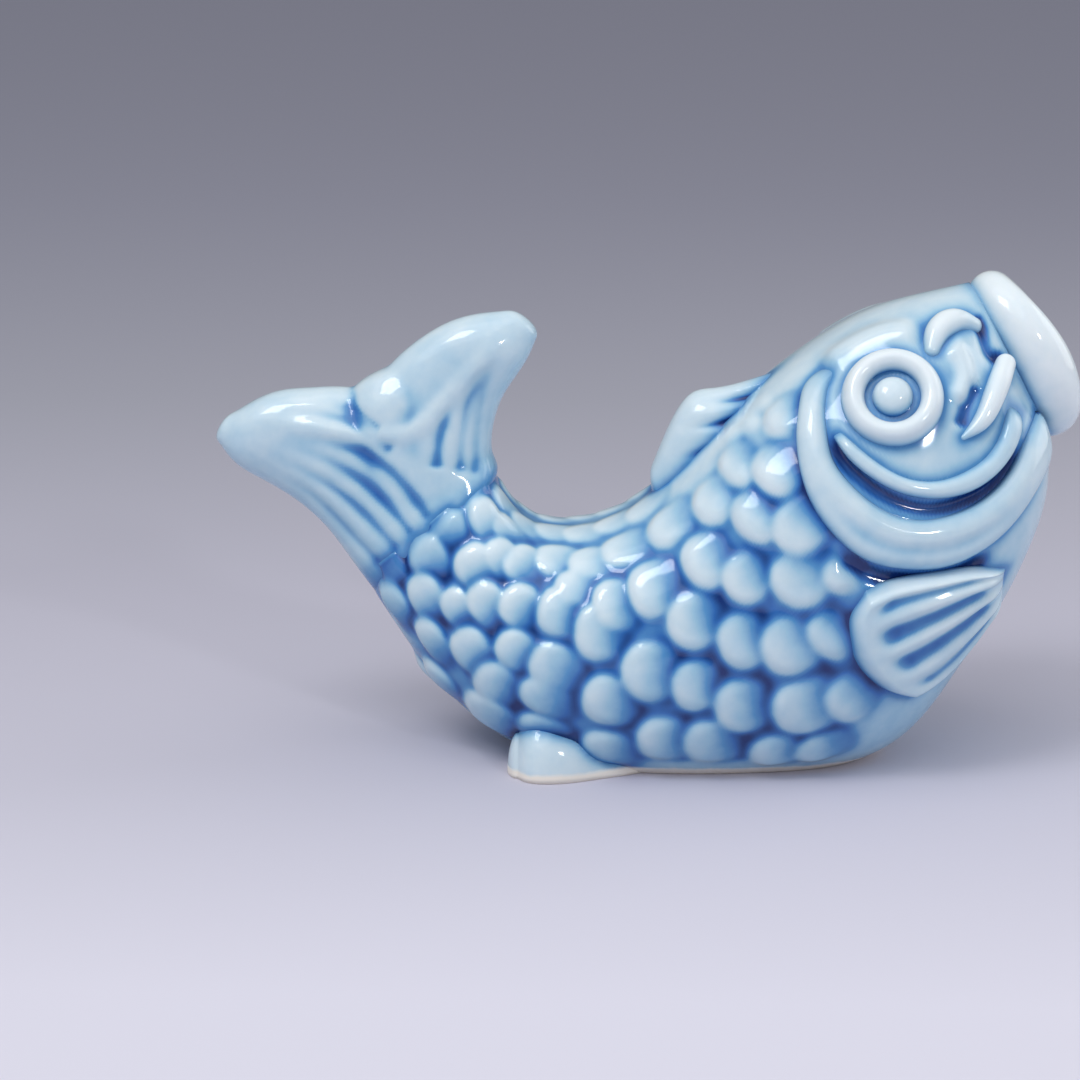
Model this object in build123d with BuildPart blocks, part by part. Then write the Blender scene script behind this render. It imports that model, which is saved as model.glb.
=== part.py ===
from build123d import *
from math import cos, pi, radians, sin
import os

# Brush rest in the form of a leaping carp, slip-cast in porcelain and glazed.
# Millimetres, +Z up, nose towards +X. The origin lies on the table, in the middle of the part.
# The brush lies along Y in the saddle between the dorsal fin and the tail.
# Each piece below is one that the potter makes and lutes on with slip before the firing.
# Right means the carp's own right flank, on the -Y side.

# Driving sizes
length = 120.0  # tail tip to lower lip
height = 69.0  # table to upper lip
width = 41.0  # across the flanks
wall = 4.0  # thickness of the slip-cast wall

# Foot: the opening that the slip is drained through, closed by a slab
foot_opening_length = 36.0
foot_opening_width = 12.0
foot_opening_x = 5.0
slab_recess = 0.8  # the slab stays this far above the table
vent_diameter = 4.0  # lets the air out in the kiln

# Mouth
mouth_height = 9.0
mouth_width = 5.0
mouth_round = 0.9

# Relief, measured out from the trunk's skin
gill_cover_relief = 1.9
cheek_relief = 1.3
cheek_band = 2.4
pectoral_relief = 2.4
scale_relief = 1.1

# Grooves between the rays of the fins, pressed into the clay with a round rod
rod_diameter = 2.4
ray_depth = 0.6
pectoral_ray_depth = 1.2

# Eye, set square to the skin
eye_diameter = 13.0
eye_bore = 6.8  # the groove round the pupil lies inside this
eye_rim_relief = 2.0
eye_clearance = 0.2  # left round the rim by the pieces laid near it
pupil_diameter = 5.2
pupil_relief = 1.9

# Coils of clay, laid on the snout
barbel_diameter = 2.5
nostril_diameter = 2.5

# Scales
scale_length = 5.8  # along the trunk
scale_height = 7.0  # round the trunk
scale_tilt = 10.0  # degrees, so that the free edge towards the tail stands proud

# Ribs of the trunk from snout to tail root: back point, belly point and half width, as shares of
# length, height, length, height and width.
trunk_rib_shares = [
    (0.367, 0.961, 0.463, 0.655, 0.195),
    (0.324, 0.942, 0.463, 0.559, 0.305),
    (0.262, 0.910, 0.448, 0.452, 0.402),
    (0.193, 0.842, 0.421, 0.342, 0.476),
    (0.118, 0.736, 0.371, 0.193, 0.500),
    (0.051, 0.613, 0.290, 0.020, 0.500),
    (-0.007, 0.514, 0.140, -0.051, 0.476),
    (-0.083, 0.464, -0.055, -0.045, 0.439),
    (-0.135, 0.481, -0.189, 0.058, 0.366),
    (-0.166, 0.539, -0.267, 0.201, 0.280),
    (-0.174, 0.593, -0.329, 0.364, 0.195),
]
# The lips, the tail's two lobes and the dorsal fin are written the same way, from root to tip.
lip_rib_shares = [
    trunk_rib_shares[0],
    (0.386, 0.990, 0.482, 0.646, 0.232),
    (0.405, 0.998, 0.497, 0.660, 0.235),
    (0.424, 0.985, 0.503, 0.690, 0.205),
    (0.434, 0.962, 0.503, 0.722, 0.150),
]
lower_lobe_shares = [
    trunk_rib_shares[-1],
    (-0.238, 0.638, -0.360, 0.435, 0.160),
    (-0.322, 0.735, -0.403, 0.509, 0.135),
    (-0.387, 0.741, -0.446, 0.555, 0.120),
    (-0.443, 0.722, -0.480, 0.596, 0.105),
    (-0.482, 0.686, -0.498, 0.630, 0.060),
]
upper_lobe_shares = [
    (-0.177, 0.594, -0.300, 0.440, 0.172),
    (-0.176, 0.638, -0.303, 0.577, 0.160),
    (-0.168, 0.704, -0.295, 0.720, 0.135),
    (-0.154, 0.751, -0.253, 0.838, 0.120),
    (-0.133, 0.807, -0.201, 0.888, 0.105),
    (-0.119, 0.851, -0.153, 0.907, 0.060),
]
dorsal_fin_shares = [
    (0.183, 0.800, 0.200, 0.740, 0.035),
    (0.131, 0.770, 0.167, 0.638, 0.085),
    (0.085, 0.748, 0.144, 0.555, 0.110),
    (0.053, 0.735, 0.103, 0.493, 0.115),
    (0.028, 0.668, 0.063, 0.462, 0.105),
    (0.005, 0.580, 0.028, 0.452, 0.080),
]
fullness_share = 1.16  # of the half width at the shoulders of a rib; more is squarer

# Outlines on the flank, as shares of length along X and height along Z
gill_outer_shares = [
    (0.168, 0.800), (0.165, 0.770), (0.165, 0.719), (0.176, 0.650), (0.203, 0.579), (0.237, 0.525),
    (0.279, 0.497), (0.324, 0.495), (0.364, 0.508), (0.397, 0.527), (0.433, 0.560), (0.462, 0.595),
    (0.482, 0.635),
]
gill_inner_shares = [
    (0.197, 0.806), (0.196, 0.765), (0.196, 0.717), (0.211, 0.654), (0.246, 0.602), (0.292, 0.568),
    (0.337, 0.569), (0.376, 0.593), (0.404, 0.634), (0.420, 0.680), (0.430, 0.720),
    (0.441, 0.760),
]
cheek_shares = [
    (0.211, 0.735), (0.221, 0.690), (0.252, 0.636), (0.301, 0.608),
    (0.346, 0.620), (0.378, 0.652), (0.398, 0.699), (0.405, 0.740),
]
pectoral_shares = [
    (0.228, 0.395), (0.226, 0.348), (0.233, 0.298), (0.247, 0.248), (0.268, 0.202), (0.292, 0.172),
    (0.316, 0.167), (0.342, 0.203), (0.372, 0.273), (0.398, 0.357), (0.410, 0.425), (0.378, 0.455),
    (0.325, 0.444), (0.280, 0.432), (0.248, 0.418),
]
# Grooves between the rays, each from the root of the fin to its free end
pectoral_ray_shares = [
    [(0.335, 0.412), (0.290, 0.385), (0.250, 0.352)],
    [(0.355, 0.388), (0.300, 0.335), (0.252, 0.285)],
    [(0.365, 0.345), (0.318, 0.275), (0.275, 0.225)],
]
lower_ray_shares = [
    [(-0.235, 0.520), (-0.290, 0.600), (-0.360, 0.670), (-0.430, 0.690)],
    [(-0.265, 0.480), (-0.320, 0.565), (-0.385, 0.630), (-0.440, 0.655)],
    [(-0.300, 0.440), (-0.340, 0.510), (-0.395, 0.580), (-0.445, 0.620)],
]
upper_ray_shares = [
    [(-0.200, 0.600), (-0.208, 0.660), (-0.200, 0.740), (-0.165, 0.810)],
    [(-0.230, 0.620), (-0.240, 0.690), (-0.230, 0.770), (-0.190, 0.840)],
    [(-0.262, 0.640), (-0.270, 0.700), (-0.262, 0.770), (-0.225, 0.850)],
]
dorsal_ray_shares = [
    [(0.150, 0.740), (0.105, 0.710), (0.065, 0.700)],
    [(0.155, 0.700), (0.105, 0.655), (0.045, 0.630)],
    [(0.140, 0.650), (0.095, 0.600), (0.035, 0.565)],
]
eye_shares = (0.272, 0.777)
barbel_shares = [(0.392, 0.822), (0.382, 0.803), (0.376, 0.768), (0.363, 0.733), (0.346, 0.708)]
nostril_shares = [(0.320, 0.861), (0.333, 0.894), (0.349, 0.905), (0.368, 0.900)]

# The pelvic fins lie on the table. Each station: X as a share of length, Y of its middle and half
# width as shares of width, and height as a share of the part's height.
pelvic_station_shares = [
    (0.030, 0.215, 0.035, 0.030),
    (0.000, 0.240, 0.080, 0.060),
    (-0.050, 0.275, 0.120, 0.095),
    (-0.095, 0.305, 0.140, 0.120),
    (-0.130, 0.315, 0.125, 0.115),
    (-0.152, 0.310, 0.070, 0.070),
]

# A scale's outline, as shares of its length towards the tail and of its height: square where it
# grows from the skin, round at the free edge.
scale_outline_shares = [
    (-0.50, -0.36), (-0.05, -0.50), (0.34, -0.34), (0.50, 0.00), (0.34, 0.34), (-0.05, 0.50), (-0.50, 0.36),
]
# Scales, file by file from the gill cover to the tail and from back to belly: place on the flank,
# and size as a share of the full scale.
scale_shares = [
    (0.208, 0.445, 0.65), (0.202, 0.308, 0.65), (0.215, 0.172, 0.80),
    (0.143, 0.705, 0.65), (0.143, 0.620, 0.80), (0.161, 0.525, 0.90), (0.164, 0.410, 0.90),
    (0.155, 0.295, 0.90), (0.165, 0.165, 0.90), (0.184, 0.055, 0.60),
    (0.098, 0.620, 0.70), (0.111, 0.530, 0.80), (0.105, 0.422, 0.80), (0.097, 0.305, 0.85),
    (0.105, 0.175, 0.90), (0.132, 0.070, 0.70),
    (0.068, 0.550, 0.65), (0.058, 0.452, 0.70), (0.042, 0.335, 0.85), (0.047, 0.210, 0.90), (0.072, 0.090, 0.80),
    (0.020, 0.485, 0.60), (-0.008, 0.372, 0.80), (-0.007, 0.239, 0.90), (0.011, 0.110, 0.80),
    (-0.027, 0.432, 0.60), (-0.056, 0.315, 0.90), (-0.052, 0.178, 0.85),
    (-0.072, 0.422, 0.70), (-0.105, 0.350, 0.75), (-0.108, 0.238, 0.85), (-0.128, 0.160, 0.60),
    (-0.132, 0.425, 0.65), (-0.153, 0.270, 0.80), (-0.174, 0.185, 0.65),
    (-0.157, 0.357, 0.70), (-0.183, 0.506, 0.65), (-0.196, 0.432, 0.75), (-0.206, 0.310, 0.75),
    (-0.245, 0.444, 0.70), (-0.252, 0.361, 0.60), (-0.282, 0.392, 0.50),
]
# Middle of the trunk's bend, above the saddle. The scales' free edges turn round it.
bend_shares = (-0.070, 1.300)


def at(shares):
    """Point of the middle plane given by shares of length and height."""
    return Vector(shares[0] * length, 0, shares[1] * height)


def flat(outline):
    """Points of a side-view sketch given by shares of length and height."""
    return [(x * length, z * height) for x, z in outline]


def rib_plane(rib):
    """Plane of a rib, its x towards the back and its z towards the snout."""
    back, belly = at(rib[0:2]), at(rib[2:4])
    rise = (back - belly).normalized()
    return Plane((back + belly) / 2, x_dir=rise, z_dir=(rise.Z, 0, -rise.X))


def half_loft(ribs, grow=0.0):
    """Right half of the solid through a row of ribs, thicker or thinner all round by a given amount."""
    with BuildPart() as lofted:
        for rib in ribs:
            depth = (at(rib[0:2]) - at(rib[2:4])).length / 2 + grow
            shoulder = (rib[4] * width + grow) * fullness_share
            flank = (rib[4] * width + grow) * (8 - 4 * fullness_share) / 3
            with BuildSketch(rib_plane(rib)):
                with BuildLine():
                    Bezier((depth, 0), (depth, shoulder), (0, flank), (-depth, shoulder), (-depth, 0))
                    Line((-depth, 0), (depth, 0))
                make_face()
        loft()
    return lofted.part


def on_skin(surface, shares):
    """Point of a skin's right flank at a place of the side view, and its outward normal."""
    return surface.find_intersection_points(Axis(at(shares), (0, -1, 0)))[-1]


def rod(surface, places, diameter, middle_depth, start_depth, end_depth):
    """A round rod laid along places of a skin, as deep in it as given on the way and at both ends."""
    depths = [start_depth, *[middle_depth] * (len(places) - 2), end_depth]
    points = []
    for place, depth in zip(places, depths):
        point, normal = on_skin(surface, place)
        points.append(point + normal * (diameter / 2 - depth))
    with BuildPart() as laid:
        with BuildLine() as path:
            Spline(*points)
        with BuildSketch(Plane(path.line @ 0, z_dir=path.line % 0)):
            Circle(diameter / 2)
        sweep()
    return laid.part


def pressed(surface, rays, depth):
    """Cutters for the grooves between a fin's rays, on the right flank."""
    return [rod(surface, ray, rod_diameter, depth, 0, 0) for ray in rays]


trunk = half_loft(trunk_rib_shares)
skin = trunk.shell()
snout = rib_plane(trunk_rib_shares[0])

# Place and axis of the eye, and the room that its rim needs among the pieces laid on the head
seat, outward = on_skin(skin, eye_shares)
across = Vector(1, 0, 0).cross(outward).normalized()
eye_axis = Axis(seat, outward)
eye_profile = Plane(seat, x_dir=across.cross(outward), z_dir=across.cross(outward).cross(outward))
with BuildPart() as eye_room:
    with Locations(Plane(seat, z_dir=outward)):
        Cylinder(eye_diameter / 2 + eye_clearance, width / 2)

# Scales: each rises from the skin towards its free edge, which points to the tail
bend = at(bend_shares)
tilt = radians(scale_tilt)
with BuildPart() as scales:
    for x, z, size in scale_shares:
        point, normal = on_skin(skin, (x, z))
        along = Vector(point.Z - bend.Z, 0, bend.X - point.X)
        tailward = (along - normal * along.dot(normal)).normalized()
        rooted = point + normal * (scale_relief - scale_length * size / 2 * sin(tilt))
        rising = tailward * cos(tilt) + normal * sin(tilt)
        outline = [(u * scale_length * size, v * scale_height * size) for u, v in scale_outline_shares]
        with BuildSketch(Plane(rooted, x_dir=rising, z_dir=normal * cos(tilt) - tailward * sin(tilt))):
            with BuildLine():
                Polyline(*outline, close=True)
            make_face()
    extrude(amount=-scale_relief * 2)

# Body: the hollow casting with its scales, cut flat where it stands, with the opening for the slab
with BuildPart() as flank:
    add(trunk)
    add(scales.part)
    split(bisect_by=Plane.XY, keep=Keep.TOP)
with BuildPart() as cavity:
    add(half_loft(trunk_rib_shares[2:-1], -wall))
    split(bisect_by=Plane.XY.offset(wall), keep=Keep.TOP)
with BuildPart() as body:
    add(flank.part)
    add(cavity.part, mode=Mode.SUBTRACT)
    mirror(about=Plane.XZ)
    with BuildSketch():
        with Locations((foot_opening_x, 0)):
            SlotOverall(foot_opening_length, foot_opening_width)
    extrude(amount=wall, mode=Mode.SUBTRACT)

# Foot slab: closes the opening level with the floor inside, with the vent through it
with BuildPart() as foot_slab:
    with BuildSketch(Plane.XY.offset(slab_recess)):
        with Locations((foot_opening_x, 0)):
            SlotOverall(foot_opening_length, foot_opening_width)
            Circle(vent_diameter / 2, mode=Mode.SUBTRACT)
    extrude(amount=wall - slab_recess)

# Lips: a full ring round the open mouth
with BuildPart() as lips:
    add(half_loft(lip_rib_shares))
    mirror(about=Plane.XZ)
    with BuildSketch(rib_plane(lip_rib_shares[-1])):
        Ellipse(mouth_height / 2, mouth_width / 2)
    extrude(amount=-(rib_plane(lip_rib_shares[-1]).origin - snout.origin).length - mouth_round, mode=Mode.SUBTRACT)
    fillet(lips.edges(Select.LAST).filter_by(GeomType.ELLIPSE).sort_by(Axis.X)[-1], mouth_round)

# Tail: two lobes from one root, with grooves between the rays on both faces
lower_lobe = half_loft(lower_lobe_shares)
upper_lobe = half_loft(upper_lobe_shares)
tail_grooves = pressed(lower_lobe.shell(), lower_ray_shares, ray_depth)
tail_grooves += pressed(upper_lobe.shell(), upper_ray_shares, ray_depth)
with BuildPart() as tail_fin:
    add(lower_lobe)
    add(upper_lobe)
    for groove in tail_grooves:
        add(groove, mode=Mode.SUBTRACT)
    mirror(about=Plane.XZ)

# Dorsal fin: a low blade astride the back, whose rear edge is one side of the saddle
dorsal_blade = half_loft(dorsal_fin_shares)
with BuildPart() as dorsal_fin:
    add(dorsal_blade)
    add(pressed(dorsal_blade.shell(), dorsal_ray_shares, ray_depth), mode=Mode.SUBTRACT)
    add(trunk, mode=Mode.SUBTRACT)
    mirror(about=Plane.XZ)

# Gill covers: the broad crescents that close the head off from the scales
with BuildPart() as gill_cover_right:
    with BuildSketch(Plane.XZ):
        with BuildLine():
            rear = Spline(*flat(gill_outer_shares))
            front = Spline(*flat(gill_inner_shares))
            Line(rear @ 0, front @ 0)
            Line(rear @ 1, front @ 1)
        make_face()
    extrude(amount=width)
    add(half_loft(trunk_rib_shares, gill_cover_relief), mode=Mode.INTERSECT)
    add(trunk, mode=Mode.SUBTRACT)
    add(eye_room.part, mode=Mode.SUBTRACT)
    split(bisect_by=snout, keep=Keep.BOTTOM)

# Cheeks: a narrow band that runs under the eye
with BuildPart() as cheek_right:
    with BuildSketch(Plane.XZ):
        with BuildLine() as band:
            Spline(*flat(cheek_shares))
        trace(band.line, line_width=cheek_band)
    extrude(amount=width)
    add(half_loft(trunk_rib_shares, cheek_relief), mode=Mode.INTERSECT)
    add(trunk, mode=Mode.SUBTRACT)
    add(eye_room.part, mode=Mode.SUBTRACT)

# Pectoral fins: a raised leaf, with grooves between its rays
pectoral_swell = half_loft(trunk_rib_shares, pectoral_relief)
with BuildPart() as pectoral_fin_right:
    with BuildSketch(Plane.XZ):
        with BuildLine():
            Spline(*flat(pectoral_shares), periodic=True)
        make_face()
    extrude(amount=width)
    add(pectoral_swell, mode=Mode.INTERSECT)
    add(pressed(pectoral_swell.shell(), pectoral_ray_shares, pectoral_ray_depth), mode=Mode.SUBTRACT)
    add(trunk, mode=Mode.SUBTRACT)

# Pelvic fins: lobes that lie on the table and widen the foot
with BuildPart() as pelvic_fin_right:
    for x, y, half, rise in pelvic_station_shares:
        with BuildSketch(Plane.YZ.offset(x * length)):
            with Locations((-y * width, 0)):
                Ellipse(half * width, rise * height)
    loft()
    split(bisect_by=Plane.XY, keep=Keep.TOP)
    add(trunk, mode=Mode.SUBTRACT)

# Eyes: a rounded rim and a domed pupil, both turned on the eye's own axis
with BuildPart() as eye_rim_right:
    with BuildSketch(eye_profile):
        with BuildLine():
            ThreePointArc(
                (eye_bore / 2, 0), ((eye_bore + eye_diameter) / 4, eye_rim_relief), (eye_diameter / 2, 0)
            )
            Polyline((eye_diameter / 2, 0), (eye_diameter / 2, -wall), (eye_bore / 2, -wall), (eye_bore / 2, 0))
        make_face()
    revolve(axis=eye_axis)
    add(trunk, mode=Mode.SUBTRACT)
with BuildPart() as eye_pupil_right:
    with BuildSketch(eye_profile):
        with BuildLine():
            RadiusArc((0, pupil_relief), (pupil_diameter / 2, 0), pupil_diameter / 2)
            Polyline((pupil_diameter / 2, 0), (pupil_diameter / 2, -wall), (0, -wall), (0, pupil_relief))
        make_face()
    revolve(axis=eye_axis)
    add(trunk, mode=Mode.SUBTRACT)

# Barbels hang from the corners of the mouth and run out to a point
with BuildPart() as barbel_right:
    add(rod(skin, barbel_shares, barbel_diameter, barbel_diameter / 2, barbel_diameter / 2, barbel_diameter))
    with Locations(on_skin(skin, barbel_shares[0])[0]):
        Sphere(barbel_diameter / 2)
    add(trunk, mode=Mode.SUBTRACT)
    add(eye_room.part, mode=Mode.SUBTRACT)

# Nostrils: a fold of clay curls over each
with BuildPart() as nostril_fold_right:
    add(rod(skin, nostril_shares, nostril_diameter, nostril_diameter / 2, nostril_diameter, nostril_diameter))
    add(trunk, mode=Mode.SUBTRACT)
    add(eye_room.part, mode=Mode.SUBTRACT)

os.makedirs("parts", exist_ok=True)
middle_pieces = {"body": body, "foot_slab": foot_slab, "lips": lips, "tail_fin": tail_fin, "dorsal_fin": dorsal_fin}
for name, piece in middle_pieces.items():
    piece.part.label = name
    export_step(piece.part, f"parts/{name}.step")

# What stands on the right flank stands on the left one too
right_pieces = {
    "gill_cover": gill_cover_right,
    "cheek": cheek_right,
    "pectoral_fin": pectoral_fin_right,
    "pelvic_fin": pelvic_fin_right,
    "eye_rim": eye_rim_right,
    "eye_pupil": eye_pupil_right,
    "barbel": barbel_right,
    "nostril_fold": nostril_fold_right,
}
for name, piece in right_pieces.items():
    piece.part.label = f"{name}_right"
    export_step(piece.part, f"parts/{name}_right.step")
    left_piece = mirror(piece.part, about=Plane.XZ)
    left_piece.label = f"{name}_left"
    export_step(left_piece, f"parts/{name}_left.step")
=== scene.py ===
"""Looks of a brush rest in the form of a leaping carp: slip-cast porcelain under a cobalt-tinted glaze.

The brush rest is one fired body, so every piece rides on the one CAD body. The shapes are worked out
in millimetres, from the same ribs and side-view places as the CAD part, and turned to metres at the end.
"""

import logging
import math
from dataclasses import dataclass
from enum import Enum

import bmesh
import bpy
import numpy as np
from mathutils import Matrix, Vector
from mathutils.bvhtree import BVHTree


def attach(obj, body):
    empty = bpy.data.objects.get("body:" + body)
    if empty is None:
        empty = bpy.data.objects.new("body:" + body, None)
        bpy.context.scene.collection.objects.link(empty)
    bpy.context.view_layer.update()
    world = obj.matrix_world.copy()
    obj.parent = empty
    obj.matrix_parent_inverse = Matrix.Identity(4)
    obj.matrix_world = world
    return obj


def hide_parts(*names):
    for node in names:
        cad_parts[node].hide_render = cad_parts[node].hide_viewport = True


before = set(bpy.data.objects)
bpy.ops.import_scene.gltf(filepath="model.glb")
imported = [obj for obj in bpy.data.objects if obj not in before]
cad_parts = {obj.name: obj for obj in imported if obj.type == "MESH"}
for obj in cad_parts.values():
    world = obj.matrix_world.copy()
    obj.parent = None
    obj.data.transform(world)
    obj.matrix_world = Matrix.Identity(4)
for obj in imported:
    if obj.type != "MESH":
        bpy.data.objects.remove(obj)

MM = 0.001
LENGTH, HEIGHT, WIDTH = 120.0, 69.0, 41.0
# Fullness of the ribs' shoulders.
FULLNESS = 1.16
# How fast a fold or a groove falls away beside its line.
RIDGE_FALL = 1.6
# Gap that merges doubles and length below which an edge is a sliver, in millimetres.
MERGE_GAP, SLIVER = 1e-3, 1e-4
log = logging.getLogger("brush_rest")

Spot = tuple[float, float]
Rib = tuple[float, float, float, float, float]
Mesh = bmesh.types.BMesh


class Slot(Enum):
    """Finish of a piece, as the record names it."""

    COBALT = "cobalt_glaze"
    WHITE = "white_glaze"


def places(shares: list[Spot] | tuple[Spot, ...]) -> np.ndarray:
    """Side-view places in millimetres from shares of length and height."""
    return np.array(shares, float) * (LENGTH, HEIGHT)


def spline(knots: np.ndarray, values: np.ndarray, at: np.ndarray) -> np.ndarray:
    """Natural cubic spline.

    Args:
        knots: rising parameters of the given values.
        values: one row for each knot.
        at: parameters to read the spline at.

    Returns:
        One row for each parameter in at.
    """
    count, step = len(knots), np.diff(knots)
    system, right = np.eye(count), np.zeros_like(values)
    for i in range(1, count - 1):
        system[i, i - 1 : i + 2] = step[i - 1], 2 * (step[i - 1] + step[i]), step[i]
        right[i] = 6 * ((values[i + 1] - values[i]) / step[i] - (values[i] - values[i - 1]) / step[i - 1])
    bend = np.linalg.solve(system, right)
    j = np.clip(np.searchsorted(knots, at) - 1, 0, count - 2)
    t, h = (at - knots[j])[:, None], step[j][:, None]
    slope = (values[j + 1] - values[j]) / h - h * (2 * bend[j] + bend[j + 1]) / 6
    return values[j] + t * slope + t**2 * bend[j] / 2 + t**3 * (bend[j + 1] - bend[j]) / (6 * h)


def lengths_along(points: np.ndarray) -> np.ndarray:
    """Length of the way from the first point to each point."""
    return np.concatenate([[0], np.cumsum(np.linalg.norm(np.diff(points, axis=0), axis=1))])


def along(points: np.ndarray, count: int) -> np.ndarray:
    """A smooth curve through points, one a row, read at evenly spaced places."""
    knots = lengths_along(points)
    return spline(knots, points, np.linspace(0, knots[-1], count))


def smoothstep(low: float, high: float, value: np.ndarray) -> np.ndarray:
    """0 below low, 1 above high and a soft step between."""
    t = np.clip((value - low) / (high - low), 0, 1)
    return t * t * (3 - 2 * t)


def soft_ends(share: np.ndarray, start: Spot, stop: Spot) -> np.ndarray:
    """1 along a stretch, with a soft step up within start and one down within stop, from the end."""
    return smoothstep(*start, share) * smoothstep(*stop, 1 - share)


def crest(reach: np.ndarray, width: float) -> np.ndarray:
    """Section of a soft ridge: 1 on its line and close to 0 at its width."""
    return np.exp(-((reach / (width / 2)) ** 2) * RIDGE_FALL)


def rounded_square(a: np.ndarray, b: np.ndarray, power: float) -> np.ndarray:
    """0 in the middle of a rounded square and 1 on its edge."""
    return (np.abs(a) ** power + np.abs(b) ** power) ** (1 / power)


def distance_to(curve: np.ndarray, spots: np.ndarray) -> tuple[np.ndarray, np.ndarray]:
    """How far spots of the side view lie from a curve.

    Args:
        curve: points along the curve, one a row.
        spots: places of the side view, one a row.

    Returns:
        Each spot's distance, and the share of the way along the curve where it is nearest.
    """
    run_and_shade = np.diff(curve, axis=0)
    best, share = np.full(len(spots), np.inf), np.zeros(len(spots))
    for i, (origin, step) in enumerate(zip(curve, run_and_shade)):
        t = np.clip(((spots - origin) @ step) / (step @ step), 0, 1)
        d = np.linalg.norm(spots - origin - t[:, None] * step, axis=1)
        nearer = d < best
        best[nearer], share[nearer] = d[nearer], ((i + t) / len(run_and_shade))[nearer]
    return best, share


def blur(cells: np.ndarray, spread: float) -> np.ndarray:
    """Gaussian blur of a grid of numbers.

    Args:
        cells: the grid.
        spread: the blur's spread, in cells.

    Returns:
        The blurred grid.
    """
    reach = math.ceil(spread * 3)
    kernel = np.exp(-0.5 * (np.arange(-reach, reach + 1) / spread) ** 2)
    kernel /= kernel.sum()
    for axis in (0, 1):
        padded = np.pad(cells, [(reach, reach) if a == axis else (0, 0) for a in (0, 1)], mode="edge")
        shifts = [np.take(padded, np.arange(i, i + cells.shape[axis]), axis=axis) for i in range(len(kernel))]
        cells = sum(weight * shift for weight, shift in zip(kernel, shifts))
    return cells


@dataclass
class Loft:
    """A skin stretched over a row of ribs, given as in the CAD part.

    Each rib is its back point and belly point in the middle plane, and its half width, as shares of
    length, height, length, height and width.
    """

    ribs: list[Rib]

    def read(self, count: int) -> np.ndarray:
        """Evenly spaced ribs in millimetres, one a row."""
        ribs = np.array(self.ribs) * (LENGTH, HEIGHT, LENGTH, HEIGHT, WIDTH)
        knots = lengths_along((ribs[:, 0:2] + ribs[:, 2:4]) / 2)
        return spline(knots, ribs, np.linspace(0, knots[-1], count))

    def half(self, rows: int, columns: int) -> np.ndarray:
        """Points of the right half, from snout to tail and from back to belly.

        Args:
            rows: ribs to read.
            columns: points on each rib.

        Returns:
            An array of rows by columns by 3.
        """
        ribs = self.read(rows)
        v = np.linspace(0, 1, columns)[None, :, None]
        centre = ((ribs[:, 0:2] + ribs[:, 2:4]) / 2)[:, None, :]
        rise = ((ribs[:, 0:2] - ribs[:, 2:4]) / 2)[:, None, :]
        half = ribs[:, 4][:, None, None]
        edge = (1 - v) ** 4 + 4 * v * (1 - v) ** 3 - 4 * v**3 * (1 - v) - v**4
        side = 4 * v * (1 - v) * ((1 - v) ** 2 + v**2) * FULLNESS * half
        side = side + 6 * v**2 * (1 - v) ** 2 * (8 - 4 * FULLNESS) / 3 * half
        spot = centre + rise * edge
        return np.concatenate([spot[..., 0:1], -side, spot[..., 1:2]], axis=2)

    def ring(self, rows: int, columns: int) -> np.ndarray:
        """Points all round, from the back by the right flank to the belly and up the left flank."""
        half = self.half(rows, columns // 2 + 1)
        return np.concatenate([half, half[:, -2:0:-1] * (1, -1, 1), half[:, :1]], axis=1)


def normals_of(grid: np.ndarray) -> np.ndarray:
    """Outward unit normals of a right-hand half skin laid out as Loft.half does."""
    normal = np.cross(np.gradient(grid, axis=0), np.gradient(grid, axis=1))
    return normal / np.maximum(np.linalg.norm(normal, axis=2, keepdims=True), 1e-9)


def domed(grid: np.ndarray, bulge: float, steps: int = 8) -> np.ndarray:
    """Adds a rounded end after a ring grid's last row.

    Args:
        grid: rings, rows by columns by 3.
        bulge: how far the end stands out, in millimetres.
        steps: rings in the end.

    Returns:
        The longer grid.
    """
    last, centre = grid[-1], grid[-1].mean(axis=0)
    way = centre - grid[-2].mean(axis=0)
    way = way / np.linalg.norm(way)
    least = 1e-4
    rows = [grid]
    for turn in np.linspace(0, math.pi / 2, steps + 1)[1:]:
        ring = centre + (last - centre) * max(math.cos(turn), least) + way * bulge * math.sin(turn)
        rows.append(ring[None])
    return np.concatenate(rows)


def sheet_of(grid: np.ndarray) -> Mesh:
    """A grid of quads with its vertices at the given points.

    Args:
        grid: points, rows by columns by 3.

    Returns:
        The bmesh.
    """
    rows, columns = grid.shape[:2]
    bm = bmesh.new()
    bmesh.ops.create_grid(bm, x_segments=columns - 1, y_segments=rows - 1, size=1)
    for vertex, place in zip(bm.verts, grid.reshape(-1, 3)):
        vertex.co = place
    return bm


def close(bm: Mesh) -> None:
    """Merges doubles, fills open ends and turns every face outwards."""
    bmesh.ops.remove_doubles(bm, verts=bm.verts, dist=MERGE_GAP)
    bmesh.ops.dissolve_degenerate(bm, dist=SLIVER, edges=bm.edges)
    bmesh.ops.holes_fill(bm, edges=[e for e in bm.edges if e.is_boundary], sides=0)
    bmesh.ops.recalc_face_normals(bm, faces=bm.faces)


def closed_sheet(grid: np.ndarray) -> Mesh:
    """A closed piece from a grid of points, rows by columns by 3."""
    bm = sheet_of(grid)
    close(bm)
    return bm


def cut_flat(bm: Mesh) -> None:
    """Cuts away what lies below the table."""
    geometry = bm.verts[:] + bm.edges[:] + bm.faces[:]
    bmesh.ops.bisect_plane(bm, geom=geometry, plane_co=(0, 0, 0), plane_no=(0, 0, -1), clear_outer=True)


def places_of(bm: Mesh) -> np.ndarray:
    """The vertices' places, one a row."""
    return np.array([v.co[:] for v in bm.verts])


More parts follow.
